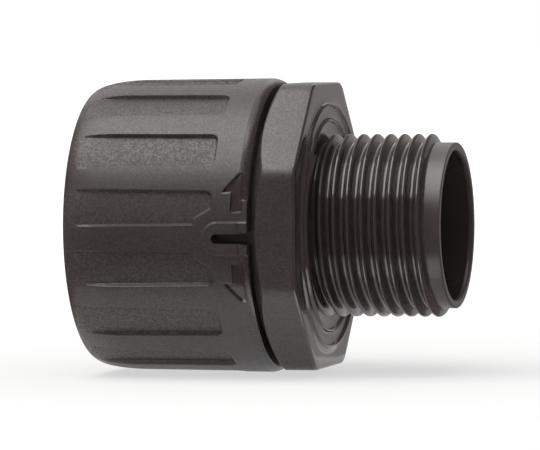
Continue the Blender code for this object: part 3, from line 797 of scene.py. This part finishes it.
def cells(tree, place, scale):
    """A random number for each small cell of the surface"""
    pattern = add_node(tree, 'ShaderNodeTexVoronoi', {"Scale": scale}, {"Vector": place})
    return add_node(tree, 'ShaderNodeSeparateColor', {}, {0: pattern.outputs["Color"]}).outputs[0]


def ramp(tree, source, low, high, start=MIDDLE_START, end=MIDDLE_END):
    """Number that goes from low, where the source is at start, to high, where it is at end"""
    plain = {"From Min": start, "From Max": end, "To Min": low, "To Max": high}
    return add_node(tree, 'ShaderNodeMapRange', plain, {"Value": source}).outputs["Result"]


def bump(tree, height, distance, strength):
    plain = {"Strength": strength, "Distance": distance}
    return add_node(tree, 'ShaderNodeBump', plain, {"Height": height}).outputs["Normal"]


def colour_between(tree, share, low, high):
    plain = {COLOURS[0]: (*low, 1.0), COLOURS[1]: (*high, 1.0)}
    node = add_node(tree, 'ShaderNodeMix', plain, {SHARE: share})
    node.data_type = 'RGBA'
    return node.outputs[COLOUR_RESULT]


def number_between(tree, share, low, high):
    """Number between two others: share, low and high are each a socket or a plain value"""
    plain = {}
    linked = {}
    for socket, value in zip((SHARE, *NUMBERS), (share, low, high)):
        chosen = plain if isinstance(value, float) else linked
        chosen[socket] = value
    return add_node(tree, 'ShaderNodeMix', plain, linked).outputs[0]


def combined(tree, operation, first, second):
    node = add_node(tree, 'ShaderNodeMath', {}, {0: first, 1: second})
    node.operation = operation
    return node.outputs[0]


def shader_between(tree, share, under, over):
    linked = {SHARE: share, SHADERS[0]: under, SHADERS[1]: over}
    return add_node(tree, 'ShaderNodeMixShader', {}, linked).outputs[0]


def stored(tree, name):
    """Number that the mesh carries under that name"""
    node = tree.nodes.new('ShaderNodeAttribute')
    node.attribute_name = name
    return node.outputs["Fac"]


def grained_nylon():
    """Black nylon with a spark-eroded grain, coarser in the recesses, smooth on arrows and bevel"""
    material, tree, shader = new_finish(*GRAINED)
    place = object_place(tree)
    pattern = cells(tree, place, GRAIN_CELLS)
    grain = number_between(tree, GRAIN_NOISE_SHARE, pattern, noise(tree, place, *GRAIN_NOISE))
    polish = stored(tree, "polish")
    recessed = stored(tree, "recessed")
    moulded = number_between(tree, recessed, LAND_GRAIN, RECESS_GRAIN)
    depth = number_between(tree, polish, moulded, POLISHED_GRAIN)
    speckle = combined(tree, 'MULTIPLY', ramp(tree, grain, *SPECKLE), depth)
    tree.links.new(colour_between(tree, speckle, GRAIN_DARK, GRAIN_PALE), shader.inputs["Base Color"])
    height = combined(tree, 'MULTIPLY', grain, depth)
    land = ramp(tree, height, *LAND_ROUGHNESS)
    recess = ramp(tree, height, *RECESS_ROUGHNESS)
    rough = number_between(tree, recessed, land, recess)
    rough = number_between(tree, polish, rough, POLISHED_ROUGHNESS)
    tree.links.new(rough, shader.inputs["Roughness"])
    tree.links.new(bump(tree, height, *GRAIN_BUMP), shader.inputs["Normal"])
    return material


def smooth_nylon(name, colour, roughness, grain_depth):
    """Black nylon from a polished mould"""
    material, tree, shader = new_finish(name, colour, roughness, SMOOTH_SPECULAR)
    place = object_place(tree)
    fine = noise(tree, place, *SMOOTH_NOISE)
    cloud = noise(tree, place, *SMOOTH_CLOUD)
    darker = [CLOUD_DARK * part for part in colour]
    paler = [CLOUD_PALE * part for part in colour]
    rough = ramp(tree, cloud, roughness * CLOUD_SMOOTH, roughness * CLOUD_ROUGH)
    tree.links.new(colour_between(tree, cloud, darker, paler), shader.inputs["Base Color"])
    tree.links.new(rough, shader.inputs["Roughness"])
    tree.links.new(bump(tree, fine, grain_depth, SMOOTH_BUMP_STRENGTH), shader.inputs["Normal"])
    return material


def acetal():
    material, tree, shader = new_finish(*ACETAL)
    cloud = noise(tree, object_place(tree), *ACETAL_CLOUD)
    tree.links.new(colour_between(tree, cloud, ACETAL_DARK, ACETAL_PALE), shader.inputs["Base Color"])
    tree.links.new(ramp(tree, cloud, *ACETAL_ROUGHNESS), shader.inputs["Roughness"])
    return material


def rubber():
    material, tree, shader = new_finish(*RUBBER)
    fine = noise(tree, object_place(tree), *RUBBER_NOISE)
    tree.links.new(colour_between(tree, fine, RUBBER_DARK, RUBBER_PALE), shader.inputs["Base Color"])
    tree.links.new(bump(tree, fine, *RUBBER_BUMP), shader.inputs["Normal"])
    return material


def finish_node(node, material):
    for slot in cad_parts[node].material_slots:
        slot.material = material


# Room, light and camera: metres, and degrees from the front, which is -Y, towards +X

WHITE = (1.0, 1.0, 1.0)
CAMERA_RAYS = ("Is Camera Ray",)
MIRRORED_RAYS = ("Is Glossy Ray", "Is Transmission Ray")
WORLD_LIGHT = 0.4

FLOOR_SIZE = 6.0
FLOOR_DROP = 0.0002
FLOOR_ROUGHNESS = 0.9
PLAIN_FLOOR = (0.8, 0.8, 0.8)
SEEN_FLOOR = (0.4, 0.4, 0.4)
MIRRORED_FLOOR = (0.42, 0.41, 0.4)
SEEN_GLOW = 0.6
MIRRORED_GLOW = 0.55
GLOW_GROWS = (0.03, 0.3)

# Painted reflections of darker sides of the room, sheets that only reflections see, as (name, azimuths,
# lowest and highest elevation, colour)
REFLECTED_WALLS = (
    ("dark_front", (-130.0, 5.0), (0.0, 40.0), (0.2, 0.15, 0.15)),
    ("dark_right", (5.0, 130.0), (0.0, 64.0), (0.2, 0.16, 0.15)),
    ("dark_back", (130.0, 175.0), (18.0, 64.0), (0.2, 0.16, 0.15)),
    ("grey_back", (130.0, 230.0), (0.0, 18.0), (0.45, 0.43, 0.42)),
)
WALL_RADIUS = 0.25
WALL_DROP = 0.0001
WALL_STEP = 5.0
WALL_ROWS = 11
MARGIN_WEST = 0.03
MARGIN_EAST = 0.018
MARGIN_Y = 0.0237
LEAST_SHARE = 0.001

# Glowing card that only reflections see: a painted highlight on the thread
CARD_CORNERS = ((0.0078, -0.02), (0.0172, -0.0105))
CARD_DROP = 0.00005
CARD_GLOW = 1.9

# Lamps as (name, place, width and height, power): they face the object
LAMPS = (
    ("top_softbox", (-0.25, -0.3, 0.85), (1.1, 0.8), 6.6),
    ("left_softbox", (-0.9, -0.5, 0.25), (0.5, 0.6), 0.8),
)
LAMP_COLOUR = (1.0, 0.985, 0.96)


def light_path(tree, names):
    """1 for the named kinds of ray"""
    path = tree.nodes.new('ShaderNodeLightPath')
    total = path.outputs[names[0]]
    for name in names[1:]:
        total = combined(tree, 'MAXIMUM', total, path.outputs[name])
    return total


def make_world():
    """White to the camera and in reflections, and a softer grey as a source of light"""
    world = bpy.data.worlds.new("studio")
    bpy.context.scene.world = world
    world.use_nodes = True
    tree = world.node_tree
    seen = tree.nodes["Background"]
    seen.inputs["Color"].default_value = (*WHITE, 1.0)
    seen.inputs["Strength"].default_value = 1.0
    lit = add_node(tree, 'ShaderNodeBackground', {"Color": (*WHITE, 1.0), "Strength": WORLD_LIGHT}, {})
    rays = light_path(tree, CAMERA_RAYS + MIRRORED_RAYS)
    look = shader_between(tree, rays, lit.outputs[0], seen.outputs[0])
    tree.links.new(look, tree.nodes["World Output"].inputs["Surface"])


def rectangle(name, west, south, east, north, level, material):
    """Flat level piece of the room"""
    corners = [(west, south, level), (east, south, level), (east, north, level), (west, north, level)]
    mesh = bpy.data.meshes.new(name)
    mesh.from_pydata(corners, [], [(0, 1, 2, 3)])
    item = add_object(name, mesh)
    item.data.materials.append(material)


def make_floor():
    """Pale floor that keeps the shadow near the object and glows up to white further out"""
    material, tree, shader = new_finish("pale_floor", SEEN_FLOOR, FLOOR_ROUGHNESS, 0.0)
    half = FLOOR_SIZE / 2
    rectangle("floor", -half, -half, half, half, FLOOR_LEVEL - FLOOR_DROP, material)
    plain = {"Base Color": (*MIRRORED_FLOOR, 1.0), "Specular IOR Level": 0.0}
    mirrored = add_node(tree, 'ShaderNodeBsdfPrincipled', plain, {})
    look = add_node(tree, 'ShaderNodeBsdfDiffuse', {"Color": (*PLAIN_FLOOR, 1.0)}, {}).outputs[0]
    reach = add_node(tree, 'ShaderNodeVectorMath', {}, {0: object_place(tree)})
    reach.operation = 'LENGTH'
    looks = ((CAMERA_RAYS, shader, SEEN_GLOW), (MIRRORED_RAYS, mirrored, MIRRORED_GLOW))
    for rays, glowing, near in looks:
        glowing.inputs["Emission Color"].default_value = (*WHITE, 1.0)
        glow = ramp(tree, reach.outputs["Value"], near, 1.0, *GLOW_GROWS)
        tree.links.new(glow, glowing.inputs["Emission Strength"])
        look = shader_between(tree, light_path(tree, rays), look, glowing.outputs[0])
    tree.links.new(look, tree.nodes["Material Output"].inputs["Surface"])


def reflected_glow(name, colour):
    """Glow that reflections see, and clear to every other ray"""
    material = bpy.data.materials.new(name)
    material.use_nodes = True
    tree = material.node_tree
    tree.nodes.remove(tree.nodes["Principled BSDF"])
    clear = tree.nodes.new('ShaderNodeBsdfTransparent')
    glow = add_node(tree, 'ShaderNodeEmission', {"Color": (*colour, 1.0), "Strength": 1.0}, {})
    look = shader_between(tree, light_path(tree, MIRRORED_RAYS[:1]), clear.outputs[0], glow.outputs[0])
    tree.links.new(look, tree.nodes["Material Output"].inputs["Surface"])
    return material


def make_reflected_wall(name, azimuths, elevations, colour):
    """Painted reflection of a darker side of the room, a sheet that glows only for reflections and neither
    lights nor shades anything: its floor outside a margin and a curved wall

    A wall that starts higher up has no floor.
    """
    shape = bmesh.new()
    level = FLOOR_LEVEL - WALL_DROP
    bottom, top = elevations
    rows = []
    for azimuth in np.arange(azimuths[0], azimuths[1] + WALL_STEP / 2, WALL_STEP):
        turn = math.radians(azimuth)
        ahead = (math.sin(turn), -math.cos(turn))
        margin_x = MARGIN_EAST if ahead[0] > 0.0 else MARGIN_WEST
        inner = min(margin_x / max(abs(ahead[0]), LEAST_SHARE), MARGIN_Y / max(abs(ahead[1]), LEAST_SHARE))
        profile = [(inner, level), (WALL_RADIUS, level)] if bottom == 0.0 else []
        for climb in (math.radians(degrees) for degrees in np.linspace(bottom, top, WALL_ROWS)):
            profile.append((WALL_RADIUS * math.cos(climb), WALL_RADIUS * math.sin(climb)))
        rows.append([shape.verts.new((ahead[0] * r, ahead[1] * r, z)) for r, z in profile])
    for here, there in zip(rows, rows[1:]):
        for i in range(len(here) - 1):
            shape.faces.new((here[i], there[i], there[i + 1], here[i + 1]))
    wall = add_object(name, finished_mesh(name, shape))
    # Painted reflection: the sheet's colour reaches the object only through its reflections
    wall.data.materials.append(reflected_glow(name, colour))


def make_highlight_card():
    """Glowing card on the floor before the thread, which only reflections see: a painted highlight on the
    thread that lights nothing
    """
    (west, south), (east, north) = CARD_CORNERS
    # Painted highlight: the card glows brighter than white, in reflections only
    glow = reflected_glow("painted_highlight_card", (CARD_GLOW, CARD_GLOW, CARD_GLOW))
    rectangle("painted_highlight_card", west, south, east, north, FLOOR_LEVEL - CARD_DROP, glow)


def area_lamp(name, place, size, power):
    lamp = bpy.data.lights.new(name, 'AREA')
    lamp.shape = 'RECTANGLE'
    lamp.size, lamp.size_y = size
    lamp.energy = power
    lamp.color = LAMP_COLOUR
    item = add_object(name, lamp)
    item.location = place
    item.rotation_euler = (-Vector(place)).to_track_quat('-Z', 'Y').to_euler()


# The camera: distance in metres, angles in degrees, and the photograph's frame in pixels
CAMERA_DISTANCE = 0.570
CAMERA_YAW = 14.36
CAMERA_RISE = 2.58
CAMERA_ROLL = 0.094
CAMERA_AIM = (0.00005, 0.0, 0.0)
PHOTO_WIDTH = 540
AIM_PIXEL = (274.77, 224.62)
PHOTO_CENTRE = (269.2, 224.6)
FOCAL_PIXELS = 9.32 * 570.0
SENSOR_WIDTH = 36.0
CLIP_START = 0.01


def make_camera():
    """The photograph's view: from the thread's side, a little above"""
    turn = Matrix.Rotation(math.radians(90.0 - CAMERA_RISE), 3, 'X')
    turn = turn @ Matrix.Rotation(math.radians(CAMERA_YAW), 3, 'Y')
    turn = turn @ Matrix.Rotation(math.radians(CAMERA_ROLL), 3, 'Z')
    back = turn.col[2].copy()
    lens = bpy.data.cameras.new("camera")
    lens.sensor_fit = 'HORIZONTAL'
    lens.sensor_width = SENSOR_WIDTH
    lens.lens = FOCAL_PIXELS / PHOTO_WIDTH * SENSOR_WIDTH
    lens.shift_x = (PHOTO_CENTRE[0] - AIM_PIXEL[0]) / PHOTO_WIDTH
    lens.shift_y = (AIM_PIXEL[1] - PHOTO_CENTRE[1]) / PHOTO_WIDTH
    lens.clip_start = CLIP_START
    camera = add_object("camera", lens)
    camera.matrix_world = Matrix.Translation(Vector(CAMERA_AIM) + back * CAMERA_DISTANCE) @ turn.to_4x4()
    bpy.context.scene.camera = camera


def main():
    bpy.context.scene.view_settings.view_transform = 'Standard'
    grained = grained_nylon()
    make_cap(grained)
    gloss, satin, matt = (smooth_nylon(*finish) for finish in (GLOSS_FINISH, SATIN_FINISH, LIGHTENED_MATT_FINISH))
    make_spigot(gloss, satin, matt)
    make_flange(grained, gloss)
    finish_node("grip_ring", acetal())
    finish_node("conduit_seal", rubber())
    make_world()
    make_floor()
    for wall in REFLECTED_WALLS:
        make_reflected_wall(*wall)
    make_highlight_card()
    for lamp in LAMPS:
        area_lamp(*lamp)
    make_camera()


main()
